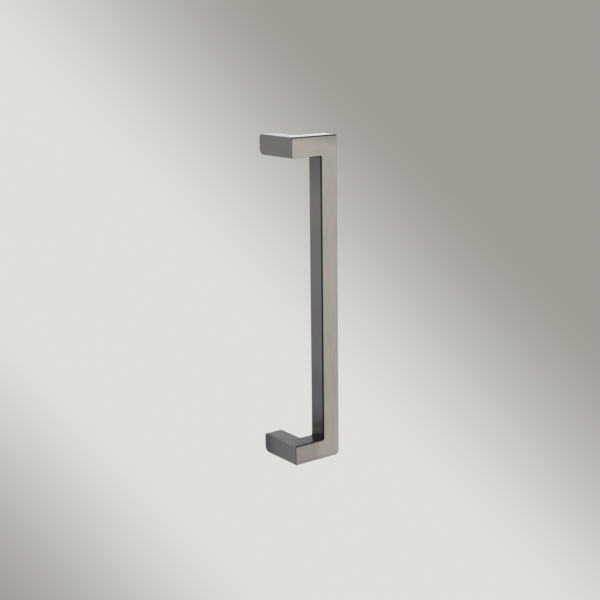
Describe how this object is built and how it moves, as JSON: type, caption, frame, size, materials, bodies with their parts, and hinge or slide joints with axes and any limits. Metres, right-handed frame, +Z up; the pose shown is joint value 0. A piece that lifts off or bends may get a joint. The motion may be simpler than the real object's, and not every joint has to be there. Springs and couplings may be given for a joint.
{
  "type": "offset door pull handle",
  "caption": "Upright square-bar door pull whose arms step sideways and turn back to feet that are bolted to the door.",
  "frame": {"origin": "on the door's face, midway between the two fixing holes in the feet", "axes": "+X sideways from the feet to the grip, +Y into the door, +Z up"},
  "size_m": [0.071, 0.071, 0.426],
  "materials": {
    "satin_metal": "satin"
  },
  "bodies": {
    "root": {"pull_handle": "satin_metal"}
  },
  "joints": []
}
